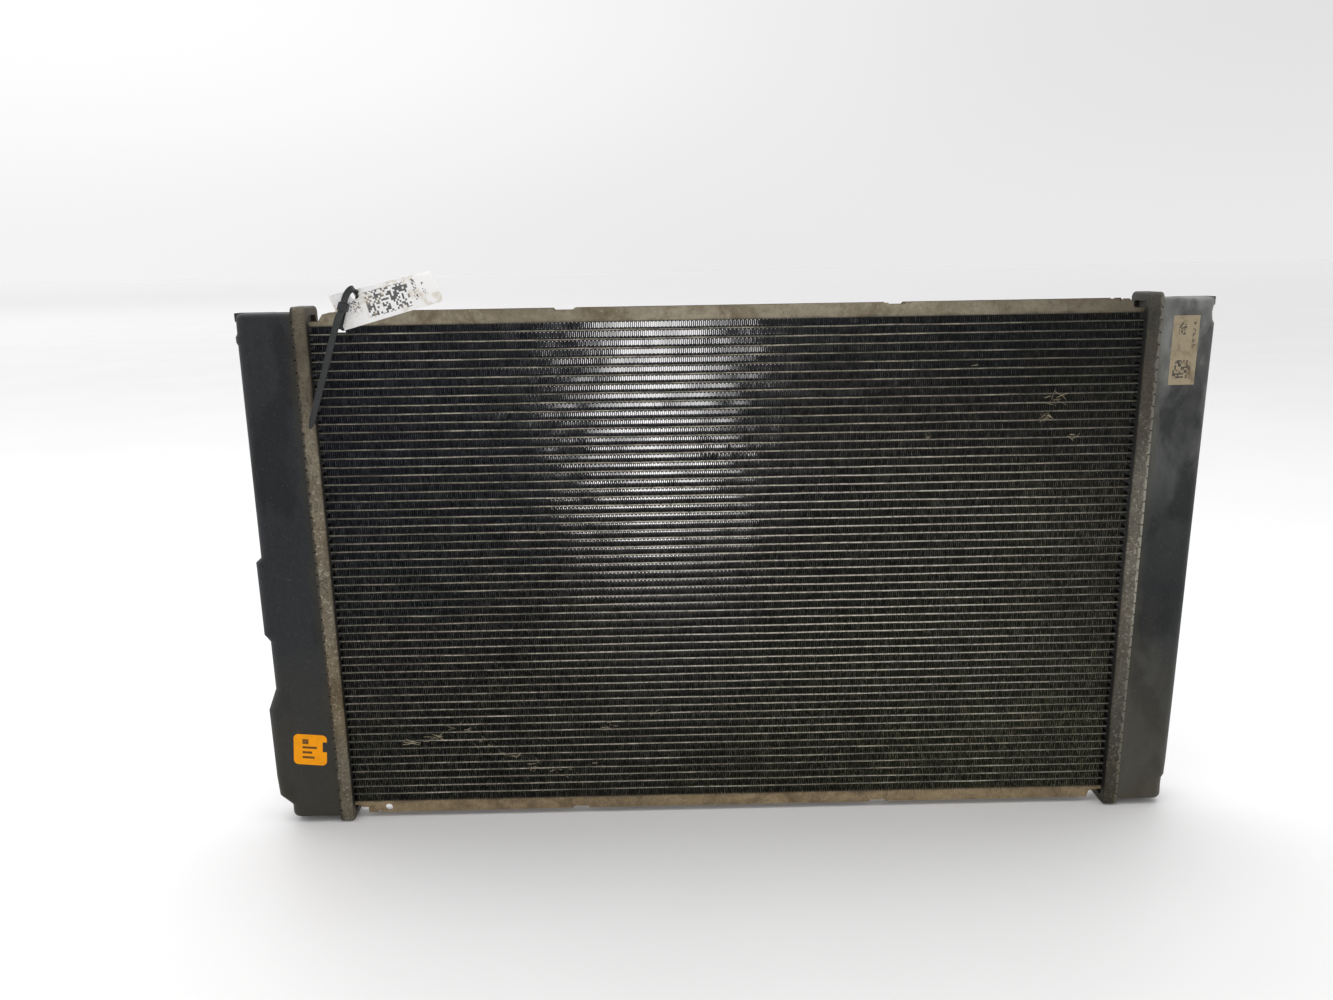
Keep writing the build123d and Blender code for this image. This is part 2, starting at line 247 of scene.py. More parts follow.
def header_aluminium(name, seed, light, dark, stain, hooks, wall_shade_tone, shade):
    """Crimped tray: cloudy brown-grey strip, walls beside the core darkened with painted shade, hooks with a
    tone of their own, which on the left is painted shade in the rolled crimp. shade darkens or tints it by
    height."""
    look = Look(name, metallic=0.15, specular=0.3)
    x = look.calc("ABSOLUTE", look.axis("X"))
    y, z = look.axis("Y"), look.axis("Z")
    inward = look.calc("MINIMUM", look.calc("SUBTRACT", y, header_front),
                       look.calc("SUBTRACT", header_back, y))
    cloud = look.noise(46.0, 8.0, 0.68, look.moved(scale=(1, 1, 0.5), offset=(seed, 0, 0)))
    base = look.ramp(cloud, (0.36, dark), (0.64, light))
    patches = look.ramp(look.noise(21.0, 6.0, 0.7, warp=0.6), (0.46, 0.0), (0.62, 1.0))
    base = look.mix(look.calc("MULTIPLY", patches, 0.7), base, stain)
    height = look.span(z, 0.40, 0.26)
    chips = look.ramp(look.noise(460.0, 5.0, 0.7), (0.55, 0.0), (0.66, 1.0))
    chips = look.calc("MULTIPLY", chips, look.calc("MULTIPLY", height, 0.62))
    base = look.mix(chips, base, (0.60, 0.56, 0.46))
    pits = look.noise(820.0, 4.0, 0.7, look.moved(offset=(2, 5, 1)))
    pits = look.ramp(pits, (0.54, 0.0), (0.64, 1.0))
    base = look.mix(look.calc("MULTIPLY", pits, 0.75), base, (0.02, 0.018, 0.014))
    # Hook tone beyond the crimp line, with a jagged edge; on the left header this dark tone is painted shade
    # in the rolled crimp edge.
    jagged = look.calc("MULTIPLY", look.calc("SUBTRACT", look.noise(170.0, 4.0, 0.6), 0.5), 7 * mm)
    hook = look.span(look.calc("ADD", x, jagged), half_width + 8.7 * mm, half_width + 9.7 * mm)
    base = look.mix(look.calc("MULTIPLY", hook, 0.8), base, hooks)
    # Painted shade: faces more than about 2 mm in from the tray's front and back, on the core side, are
    # darkened, most of all beside the core's span.
    ragged = look.calc("MULTIPLY", look.calc("SUBTRACT", look.noise(60.0, 5.0, 0.6), 0.5), 2.2 * mm)
    wall = look.span(look.calc("ADD", inward, ragged), 1.1 * mm, 2.6 * mm)
    core_side = look.calc("LESS_THAN", x, half_width + 7 * mm)
    beside_core = look.calc("MULTIPLY", look.span(z, core_low - 6 * mm, core_low - 1 * mm),
                            look.span(z, core_high + 6 * mm, core_high + 1 * mm))
    wall = look.calc("MULTIPLY", wall, look.calc("ADD", look.calc("MULTIPLY", beside_core, 0.7), 0.3))
    base = look.mix(look.calc("MULTIPLY", look.calc("MULTIPLY", wall, core_side), 0.93), base, wall_shade_tone)
    ribs = look.calc("MULTIPLY", look.calc("GREATER_THAN", x, half_width + 0.8 * mm),
                     look.calc("GREATER_THAN", inward, 7 * mm))
    ribs = look.calc("MULTIPLY", look.calc("MULTIPLY", ribs, core_side), 0.7)
    base = look.mix(ribs, base, (0.20, 0.205, 0.205))
    ragged_zone = look.calc("ADD", z, look.calc("MULTIPLY", look.noise(30.0, 6.0, 0.7), 0.06))
    base = look.mix(1.0, base, look.ramp(look.span(ragged_zone, 0.03, 0.46), *shade), "MULTIPLY")
    look.colour(base)
    look.roughness(look.ramp(cloud, (0.3, 0.5), (0.7, 0.75)))
    look.bump(look.noise(380.0, 5.0, 0.7), 0.35 * mm, 0.6)
    look.bump(look.noise(70.0, 3.0, 0.5), 1.0 * mm, 0.4)
    return look.mat


def plate_aluminium(name, light, dark, stain, grime, right_end):
    """Side plate: olive-beige sheet with brown runs, painted shade along its edge beside the fins and small
    pale chips. right_end is how dirty it is toward the right."""
    look = Look(name, metallic=0.15, specular=0.3)
    z = look.axis("Z")
    cloud = look.noise(24.0, 8.0, 0.66, look.moved(scale=(0.6, 1, 1.6)))
    base = look.ramp(cloud, (0.36, dark), (0.63, light))
    patches = look.ramp(look.noise(30.0, 7.0, 0.72, warp=0.8), (0.48, 0.0), (0.62, 1.0))
    base = look.mix(look.calc("MULTIPLY", patches, 0.8), base, stain)
    mist = look.ramp(look.noise(300.0, 5.0, 0.7), (0.42, 0.0), (0.68, 1.0))
    base = look.mix(look.calc("MULTIPLY", mist, grime), base, tuple(0.4 * c for c in stain))
    chips = look.ramp(look.noise(700.0, 2.0, 0.5, look.moved(offset=(3, 1, 2))), (0.68, 0.0), (0.74, 1.0))
    base = look.mix(look.calc("MULTIPLY", chips, 0.5), base, (0.60, 0.56, 0.48))
    fin_side = look.calc("MINIMUM", look.calc("ABSOLUTE", look.calc("SUBTRACT", z, core_low)),
                         look.calc("ABSOLUTE", look.calc("SUBTRACT", z, core_high)))
    wander = look.calc("MULTIPLY", look.calc("SUBTRACT", look.noise(90.0, 5.0, 0.6), 0.5), 6 * mm)
    dirty = look.calc("ADD", look.axis("X"), look.calc("MULTIPLY", look.noise(40.0, 6.0, 0.65), 0.10))
    dirty = look.span(dirty, 0.20, 0.35)
    base = look.mix(look.calc("MULTIPLY", dirty, right_end), base, (0.075, 0.062, 0.040))
    # Painted shade: darker within about 2 mm of the fin rows, along a wandering line.
    shade = look.span(look.calc("ADD", fin_side, wander), 2.2 * mm, 0.0)
    base = look.mix(look.calc("MULTIPLY", shade, 0.55), base, (0.03, 0.026, 0.02))
    saw = look.calc("MULTIPLY", look.calc("PINGPONG", look.axis("X"), leg_spacing / 2), 1.3)
    base = look.mix(look.calc("LESS_THAN", fin_side, saw), base, (0.02, 0.018, 0.015))
    look.colour(base)
    look.roughness(look.ramp(cloud, (0.3, 0.5), (0.7, 0.72)))
    look.bump(look.noise(420.0, 5.0, 0.7), 0.25 * mm, 0.5)
    look.bump(look.noise(34.0, 3.0, 0.5), 1.2 * mm, 0.4)
    return look.mat


def tank_plastic(name, tone, dust, film, low_dust, seed):
    """Moulded charcoal plastic: fine grain, a dusty film that follows its height, dark wiped patches
    with soft edges, brown dirt beside the crimp and pale specks low down."""
    look = Look(name, specular=0.22)
    x, z = look.calc("ABSOLUTE", look.axis("X")), look.axis("Z")
    shifted = look.moved(scale=(1.6, 1, 0.8), offset=(seed, 0.3, 0.7))
    cloud = look.noise(15.0, 8.0, 0.62, shifted, 0.5)
    fine = look.noise(300.0, 5.0, 0.7, shifted)
    base = look.mix(look.ramp(fine, (0.32, 0.0), (0.7, 1.0)), tone, tuple(1.7 * c for c in tone))
    by_height = look.ramp(look.span(z, 0.0, 0.43), *film)
    dusty = look.calc("MULTIPLY", look.ramp(cloud, (0.36, 0.25), (0.62, 1.0)), by_height)
    base = look.mix(dusty, base, dust)
    wiped = look.noise(19.0, 5.0, 0.5, look.moved(scale=(1.3, 1, 0.7), offset=(seed + 5, 1, 2)), 0.35)
    wiped = look.ramp(wiped, (0.52, 0.0), (0.60, 1.0))
    base = look.mix(look.calc("MULTIPLY", wiped, 0.6), base, tuple(0.5 * c for c in tone))
    beside = look.span(look.calc("ADD", x, look.calc("MULTIPLY", look.noise(50.0, 6.0, 0.6), 16 * mm)),
                       half_width + 26 * mm, half_width + 16 * mm)
    base = look.mix(look.calc("MULTIPLY", beside, 0.6), base, low_dust)
    low = look.span(look.calc("ADD", z, look.calc("MULTIPLY", look.noise(22.0, 6.0, 0.65), 0.2)), 0.28, 0.08)
    base = look.mix(look.calc("MULTIPLY", low, 0.7), base, low_dust)
    specks = look.ramp(look.noise(1000.0, 3.0, 0.6), (0.64, 0.0), (0.72, 1.0))
    base = look.mix(look.calc("MULTIPLY", specks, 0.4), base, (0.22, 0.20, 0.16))
    scratches = look.ramp(look.noise(38.0, 8.0, 0.75, look.moved(scale=(1.0, 1, 6.0), turn=(0, 0.5, 0)), 0.2),
                          (0.66, 0.0), (0.69, 1.0))
    base = look.mix(look.calc("MULTIPLY", scratches, 0.4), base, (0.16, 0.16, 0.155))
    look.colour(base)
    look.roughness(look.ramp(cloud, (0.35, 0.40), (0.7, 0.66)))
    look.bump(look.noise(650.0, 3.0, 0.6), 0.12 * mm, 0.6)
    look.bump(look.noise(42.0, 2.0, 0.5), 0.8 * mm, 0.3)
    return look.mat


def fin_foil():
    """Fin foil: blue-black at the left and the top, olive brown to the right and low down, nearly black
    behind its front edge as painted shade, with dusty leading edges that catch the light."""
    look = Look("fin_foil", metallic=0.2, specular=0.25)
    x, y, z = (look.axis(a) for a in "XYZ")
    warmth = look.calc("ADD", look.calc("MULTIPLY", look.span(x, -0.26, 0.34), 0.65),
                       look.calc("MULTIPLY", look.span(z, 0.40, 0.02), 0.75))
    warmth = look.calc("ADD", warmth, look.calc("MULTIPLY", look.noise(8.0, 6.0, 0.65, warp=0.4), 0.9))
    warmth = look.calc("SUBTRACT", warmth, 0.66, True)
    # Painted shade: the foil behind its front 0.75 mm takes this dark tone, tinted with the warmth.
    depth_shade = look.ramp(warmth, (0.0, (0.0060, 0.0075, 0.0130)), (0.4, (0.0090, 0.0095, 0.0090)),
                     (1.0, (0.0150, 0.0170, 0.0095)))
    edge_tone = look.ramp(warmth, (0.0, (0.110, 0.122, 0.150)), (0.35, (0.160, 0.162, 0.142)),
                          (1.0, (0.280, 0.272, 0.165)))
    dim = look.calc("MULTIPLY", look.span(x, 0.10, 0.24), look.span(z, 0.27, 0.37))
    edge_tone = look.mix(look.calc("MULTIPLY", dim, 0.75), edge_tone, (0.030, 0.032, 0.030))
    glint = look.ramp(look.noise(240.0, 5.0, 0.75), (0.40, 0.35), (0.66, 1.0))
    each_leg = look.noise(700.0, 2.0, 0.6, look.moved(scale=(1, 1, 0.22)))
    glint = look.calc("MULTIPLY", glint, look.ramp(each_leg, (0.42, 0.12), (0.60, 1.0)))
    burrs = look.ramp(look.noise(700.0, 3.0, 0.7), (0.58, 0.0), (0.68, 1.0))
    edge_tone = look.mix(look.calc("MULTIPLY", burrs, 0.6), edge_tone, (0.55, 0.53, 0.46))
    clogged = look.ramp(look.noise(36.0, 7.0, 0.72, warp=0.7), (0.52, 1.0), (0.70, 0.3))
    edge = look.span(y, core_front + 0.75 * mm, core_front - 0.1 * mm)
    base = look.mix(look.calc("MULTIPLY", edge, look.calc("MULTIPLY", glint, clogged)), depth_shade, edge_tone)
    look.colour(base)
    look.roughness(look.ramp(look.noise(80.0, 3.0), (0.3, 0.5), (0.7, 0.75)))
    louvres = look.calc("SINE", look.calc("MULTIPLY", y, 2 * math.pi / (1.3 * mm)))
    look.bump(louvres, 0.25 * mm, 0.5)
    return look.mat


def tube_aluminium():
    """Tube noses: grey beige with brighter stretches and a painted highlight over the core's middle, with
    painted shade on their undersides and inside the core.
    """
    look = Look("tube_aluminium", metallic=0.15, specular=0.3)
    x, y, z = (look.axis(a) for a in "XYZ")
    streak = look.noise(26.0, 8.0, 0.68, look.moved(scale=(1, 1, 9)))
    base = look.ramp(streak, (0.36, (0.135, 0.126, 0.099)), (0.5, (0.36, 0.335, 0.26)),
                     (0.66, (0.74, 0.69, 0.56)))
    # Painted highlight: the noses over the core's middle go near white, broken up by noise.
    middle = look.calc("MULTIPLY", look.span(x, -0.17, -0.03), look.span(x, 0.30, 0.21))
    half_way = look.calc("MULTIPLY", look.span(z, 0.34, 0.27), look.span(z, 0.06, 0.15))
    ragged_zone = look.calc("MULTIPLY", middle, half_way)
    ragged_zone = look.calc("MULTIPLY", ragged_zone, look.ramp(look.noise(7.0, 4.0, 0.6), (0.36, 0.55), (0.54, 1.0)))
    base = look.mix(look.calc("MULTIPLY", ragged_zone, 0.9), base, (0.95, 0.90, 0.77))
    dim = look.calc("MULTIPLY", look.span(x, 0.10, 0.24), look.span(z, 0.27, 0.37))
    base = look.mix(look.calc("MULTIPLY", dim, 0.5), base, (0.055, 0.055, 0.050))
    broken = look.ramp(look.noise(105.0, 5.0, 0.68, look.moved(scale=(1, 1, 4), offset=(4, 0, 2))),
                       (0.50, 0.0), (0.60, 1.0))
    base = look.mix(look.calc("MULTIPLY", broken, 0.42), base, (0.040, 0.038, 0.032))
    ends = look.span(look.calc("ABSOLUTE", x), 0.22, 0.30)
    base = look.mix(look.calc("MULTIPLY", ends, 0.45), base, (0.06, 0.058, 0.05))
    specks = look.ramp(look.noise(640.0, 4.0, 0.7), (0.48, 0.0), (0.60, 1.0))
    base = look.mix(look.calc("MULTIPLY", specks, 0.65), base, (0.030, 0.028, 0.022))
    # Painted shade on the downward-facing side of each nose.
    facing = look.node("ShaderNodeNewGeometry").outputs["Normal"]
    under = look.span(look.axis("Z", facing), 0.15, -0.45)
    base = look.mix(look.calc("MULTIPLY", under, 0.8), base, (0.022, 0.021, 0.018))
    # Painted shade: tube faces more than about half a millimetre inside the core go dark.
    inside = look.span(y, core_front + 0.10 * mm, core_front + 0.55 * mm)
    base = look.mix(inside, base, (0.030, 0.029, 0.025))
    look.colour(base)
    look.roughness(look.ramp(streak, (0.3, 0.7), (0.7, 0.52)))
    look.bump(look.noise(500.0, 3.0, 0.6), 0.15 * mm, 0.5)
    return look.mat


def rubber():
    look = Look("rubber", specular=0.3)
    look.colour(look.ramp(look.noise(120.0), (0.3, (0.012, 0.012, 0.012)), (0.7, (0.03, 0.029, 0.027))))
    look.roughness(look.ramp(look.noise(300.0), (0.3, 0.6), (0.7, 0.8)))
    look.bump(look.noise(900.0), 0.1 * mm, 0.4)
    return look.mat


def black_nylon(name):
    """Satin black plastic with moulded grain and light scuffs."""
    look = Look(name, specular=0.5)
    scuff = look.ramp(look.noise(240.0, 4.0, 0.7, look.moved(scale=(1, 1, 0.3))), (0.55, 0.0), (0.8, 1.0))
    base = look.mix(look.calc("MULTIPLY", scuff, 0.35), (0.016, 0.018, 0.019), (0.09, 0.09, 0.088))
    look.colour(base)
    look.roughness(look.ramp(look.noise(150.0), (0.3, 0.34), (0.7, 0.5)))
    look.bump(look.noise(1400.0, 2.0), 0.06 * mm, 0.5)
    return look.mat


def local_frame(look, centre, turn):
    """Coordinates on a flat front-facing piece: X along it, Z up it, in metres from its centre."""
    to_centre = look.node("ShaderNodeVectorMath", {0: look.place, 1: tuple(-c for c in centre)},
                          operation="ADD")
    rotated = look.node("ShaderNodeMapping", {"Vector": to_centre.outputs[0], "Rotation": (0, turn, 0)})
    return rotated.outputs["Vector"]


def inside_box(look, vector, x_range, z_range):
    """1 inside a rectangle of local X and Z, 0 outside."""
    x, z = look.axis("X", vector), look.axis("Z", vector)
    parts = [look.calc("GREATER_THAN", x, x_range[0]), look.calc("LESS_THAN", x, x_range[1]),
             look.calc("GREATER_THAN", z, z_range[0]), look.calc("LESS_THAN", z, z_range[1])]
    result = parts[0]
    for part in parts[1:]:
        result = look.calc("MULTIPLY", result, part)
    return result


def blocks(look, vector, cell, share, seed):
    """Random filled squares of a size, as 0 or 1: a generic printed pattern that says nothing."""
    scaled = look.node("ShaderNodeVectorMath", {0: vector, 1: (1 / cell, 1 / cell, 1 / cell)},
                       operation="MULTIPLY")
    floored = look.node("ShaderNodeVectorMath", {0: scaled.outputs[0]}, operation="FLOOR")
    flat = look.node("ShaderNodeVectorMath", {0: floored.outputs[0], 1: (1, 0, 1)}, operation="MULTIPLY")
    shifted = look.node("ShaderNodeVectorMath", {0: flat.outputs[0], 1: (seed, 0, seed)}, operation="ADD")
    white = look.node("ShaderNodeTexWhiteNoise", {"Vector": shifted.outputs[0]}, noise_dimensions="3D")
    return look.calc("LESS_THAN", white.outputs["Value"], share)


def printed_paper(name, paper, ink, centre, turn, prints, dirt_colour, dirt_amount, rough=0.7, gloss=0.35):
    """Paper or film with generic printing on its front: prints is a list of
    (x range, z range, cell, share)."""
    look = Look(name, specular=gloss, roughness=rough)
    grain = look.noise(160.0, 6.0, 0.65)
    base = look.mix(look.ramp(grain, (0.35, 0.0), (0.75, 0.22)), paper, tuple(0.8 * c for c in paper))
    vector = local_frame(look, centre, turn)
    normal = look.node("ShaderNodeNewGeometry").outputs["Normal"]
    front = look.calc("LESS_THAN", look.axis("Y", normal), 0.0)
    for k, (x_range, z_range, cell, share) in enumerate(prints):
        area = look.calc("MULTIPLY", front, inside_box(look, vector, x_range, z_range))
        mark = look.calc("MULTIPLY", area, blocks(look, vector, cell, share, 11 + 7 * k))
        base = look.mix(look.calc("MULTIPLY", mark, 0.9), base, ink)
    dirt = look.ramp(look.noise(75.0, 7.0, 0.7, warp=0.7), (0.52, 0.0), (0.66, 1.0))
    base = look.mix(look.calc("MULTIPLY", dirt, dirt_amount), base, dirt_colour)
    look.colour(base)
    look.bump(look.noise(900.0, 3.0), 0.05 * mm, 0.4)
    look.bump(look.noise(60.0, 3.0), 0.5 * mm, 0.3)
    return look.mat


def plain_stage(name, tone, rough):
    """Pale floor with painted light: lighter far off and most of all far to the left, where it meets the
    room's tone.
    """
    look = Look(name, specular=0.3)
    base = look.ramp(look.noise(2.2, 4.0, 0.5), (0.3, tuple(0.97 * c for c in tone)), (0.7, tone))
    # Painted light: the floor's colour is lifted toward white far off and to the left.
    lift = look.calc("ADD", look.calc("MULTIPLY", look.span(look.axis("Y"), 3.0, 25.0), 0.35),
                     look.calc("MULTIPLY", look.span(look.axis("X"), 0.0, -22.0), 0.60))
    look.colour(look.mix(lift, base, (1.0, 0.998, 0.998)))
    look.roughness(look.ramp(look.noise(8.0), (0.3, rough - 0.05), (0.7, rough + 0.05)))
    return look.mat


# ---------------------------------------------------------------- core

def damage(x, z):
    """0 to 1: how bent or clogged the fins are at a place on the core's face."""
    patches = smooth_noise(x / 0.055, z / 0.03, 3.1) + 0.5 * smooth_noise(x / 0.02, z / 0.012, 8.4)
    return np.clip((patches - 0.12) * 2.2, 0.0, 1.0)


def rows_of(bank):
    """The tubes of a bank, counted from the bottom; a fin row lies under each."""
    return range(bank * bank_rows, min((bank + 1) * bank_rows, tube_count))


def fin_row(row, rng, start, end):
    """A stretch of corrugated ribbon as a closed sheet: rings of points across it at three depths."""
    low = core_low + row * pitch + fin_gap
    high = low + fin_height - 2 * fin_gap
    legs = int((end - start) / leg_spacing)
    i = np.arange(legs)
    x = start + (i + 0.5) * leg_spacing
    rising = i % 2 == 0
    z_first = np.where(rising, low + fold_height, high - fold_height)
    z_second = np.where(rising, high - fold_height, low + fold_height)
    z_turn = np.where(rising, high, low)
    path_x = np.stack([x, x, x + leg_spacing / 2], 1).ravel()[:-1]
    path_z = np.stack([z_first, z_second, z_turn], 1).ravel()[:-1]
    along_x, along_z = np.gradient(path_x), np.gradient(path_z)
    length = np.hypot(along_x, along_z)
    side_x, side_z = -along_z / length * leg_thickness / 2, along_x / length * leg_thickness / 2
    ring_x = np.concatenate([path_x + side_x, (path_x - side_x)[::-1]])
    ring_z = np.concatenate([path_z + side_z, (path_z - side_z)[::-1]])

    leg_of_point = np.minimum(np.arange(len(path_x)) // 3, legs - 1)
    hurt = damage(x, np.full(legs, (low + high) / 2))
    lean = bent_lean * smooth_noise(x / 0.009, np.full(legs, row * 0.7), 5.5) * hurt
    lean += rng.normal(0, loose_lean, legs) * (0.5 + hurt)
    yaw = leg_yaw * smooth_noise(x / 0.016, np.full(legs, row * 0.8), 12.3)
    shift, twist = lean[leg_of_point], yaw[leg_of_point]
    shift, twist = np.concatenate([shift, shift[::-1]]), np.concatenate([twist, twist[::-1]])
    middle_z = (low + high) / 2
    belly = 1.0 - np.abs(ring_z - middle_z) / (fin_height / 2)
    front = plate_front - 0.05 * mm
    # how far in each ring of points lies, and its shares of the lean and of the yaw
    depths = ((front, 1.0, 1.0), (front + 2.5 * mm, 0.25, 0.64), (front + fin_depth, 0.0, -1.0))
    rings = [np.stack([ring_x + shift * share * (0.35 + 0.65 * belly) + twist * turned,
                       np.full(len(ring_x), y), ring_z], 1)
             for y, share, turned in depths]
    return np.stack(rings)


def fin_bank(bank, material):
    """Rows of real-pitch fins in one piece, in place of the CAD bank's coarser ribbons. The top row
    is in two stretches, which leave room for the cable tie."""
    rng = np.random.default_rng(40 + bank)
    points, faces, start = [], [], 0
    stretches = [(row, -fin_run, fin_run) for row in rows_of(bank)]
    if bank == banks - 1:
        stretches += [(tube_count, -fin_run, tie_crossing - 4.5 * mm),
                      (tube_count, tie_crossing + 4.0 * mm, fin_run)]
    for row, first, last in stretches:
        rings = fin_row(row, rng, first, last)
        depth, ring, _ = rings.shape
        n = ring // 2
        for d in range(depth - 1):
            a = np.arange(ring)
            b = (a + 1) % ring
            quads = [a + d * ring, b + d * ring, b + (d + 1) * ring, a + (d + 1) * ring]
            faces.append(np.stack(quads, 1) + start)
        k = np.arange(n - 1)
        cap = np.stack([k, ring - 1 - k, ring - 2 - k, k + 1], 1)
        faces.append(cap + start)
        faces.append(cap[:, ::-1] + start + (depth - 1) * ring)
        points.append(rings.reshape(-1, 3))
        start += depth * ring
    points, faces = np.concatenate(points), np.concatenate(faces)
    obj = new_mesh(f"fins_{bank + 1}", points, faces)
    return finish_piece(obj, material, replaces=[f"fin_bank_{bank + 1}"])


def tube_bank(bank, material):
    """Flat tubes with slightly wavy noses, as closed shapes whose ends stand inside the tanks."""
    low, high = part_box(f"tube_bank_{bank + 1}")
    depth = (core_back - core_front) / 2
    nose = tube_thickness / 2
    turns = np.linspace(-math.pi / 2, math.pi / 2, 6)
    arc_y = -(depth - nose) - nose * np.cos(turns)
    outline = [(y, z) for y, z in zip(arc_y, nose * np.sin(turns))]
    outline += [(-y, -z) for y, z in outline]
    outline = np.array(outline[::-1])
    stations = np.linspace(low.x, high.x, tube_stations)
    points, faces, start = [], [], 0
    for i in rows_of(bank):
        middle = core_low + pitch * (i + 1) - tube_thickness / 2
        wave = long_wave * smooth_noise(stations / 0.050, np.full(tube_stations, i * 1.7), 2.2)
        wave += short_wave * smooth_noise(stations / 0.013, np.full(tube_stations, i * 2.3), 6.6)
        wave *= np.clip((half_width - 6 * mm - np.abs(stations)) / (10 * mm), 0, 1)
        dent = dent_depth * smooth_noise(stations / 0.008, np.full(tube_stations, i * 3.1), 9.9)
        rings = []
        for x, w, d in zip(stations, wave, dent):
            front = outline[:, 0] < 0
            y = mid_y + outline[:, 0] + np.where(front, np.clip(d, 0, 1), 0)
            z = middle + outline[:, 1] + np.where(front, w, 0.3 * w)
            rings.append(np.stack([np.full(len(outline), x), y, z], 1))
        made, quads = strip(np.stack(rings))
        points.append(made)
        faces += [tuple(v + start for v in f) for f in quads]
        start += len(made)
    obj = new_mesh(f"tubes_{bank + 1}", np.concatenate(points), faces)
    return finish_piece(obj, material, replaces=[f"tube_bank_{bank + 1}"], smooth=50)


# ---------------------------------------------------------------- cable tie, tag and bits

tie_head = (-291.4 * mm, 414.9 * mm + core_low)
head_width, head_depth, head_height = 7.4 * mm, 6.2 * mm, 6.6 * mm
tail_lean = math.radians(19.0)
tie_width = 4.8 * mm
tie_thickness = 1.2 * mm
tooth_floor, groove_floor = 0.05 * mm, 0.34 * mm     # below a strap's upper face
tip_points, tip_share = 10, 0.38                     # points in the tail's taper, its end's width
LEVEL = Vector((math.cos(tail_lean), 0, -math.sin(tail_lean)))


def smooth_path(points, spacing):
    """Catmull-Rom line through given points, in steps of about one length."""
    points = [Vector(p) for p in points]
    points = [2 * points[0] - points[1], *points, 2 * points[-1] - points[-2]]
    line = []
    for a, b, c, d in zip(points, points[1:], points[2:], points[3:]):
        steps = max(2, round((c - b).length / spacing))
        for k in range(steps):
            t = k / steps
            line.append(0.5 * (2 * b + (c - a) * t + (2 * a - 5 * b + 4 * c - d) * t * t
                               + (3 * b - a - 3 * c + d) * t ** 3))
    line.append(points[-2])
    return line


def strap(line, widths, across, teeth):
    """Flat strap along a line; across gives its width direction at each point. Teeth cut its upper
    face's middle into steps, one to every other point."""
    rings = []
    for k, point in enumerate(line):
        ahead = (line[min(k + 1, len(line) - 1)] - line[max(k - 1, 0)]).normalized()
        wide = (across[k] - ahead * across[k].dot(ahead)).normalized()
        up = ahead.cross(wide).normalized()
        w, t = widths[k] / 2, tie_thickness / 2
        floor = t - (tooth_floor if teeth and k % 2 else groove_floor)
        corners = [(-w, -t), (-w * 0.86, -t * 1.25), (w * 0.86, -t * 1.25), (w, -t), (w, t), (w * 0.66, t),
                   (w * 0.60, floor), (-w * 0.60, floor), (-w * 0.66, t), (-w, t)]
        rings.append([point + wide * a + up * b for a, b in corners])
    return strip(np.array([[list(p) for p in ring] for ring in rings]))


def tie_point(x, z, forward):
    """A point from millimetres: x, height over the core's lower edge, distance to the front."""
    return Vector((x * mm, mid_y - forward * mm, z * mm + core_low))


def down_tail(run, forward):
    """A point down the leaning tail, a run below the head's middle."""
    return Vector((tie_head[0] - run * mm * math.sin(tail_lean), mid_y - forward * mm,
                   tie_head[1] - run * mm * math.cos(tail_lean)))


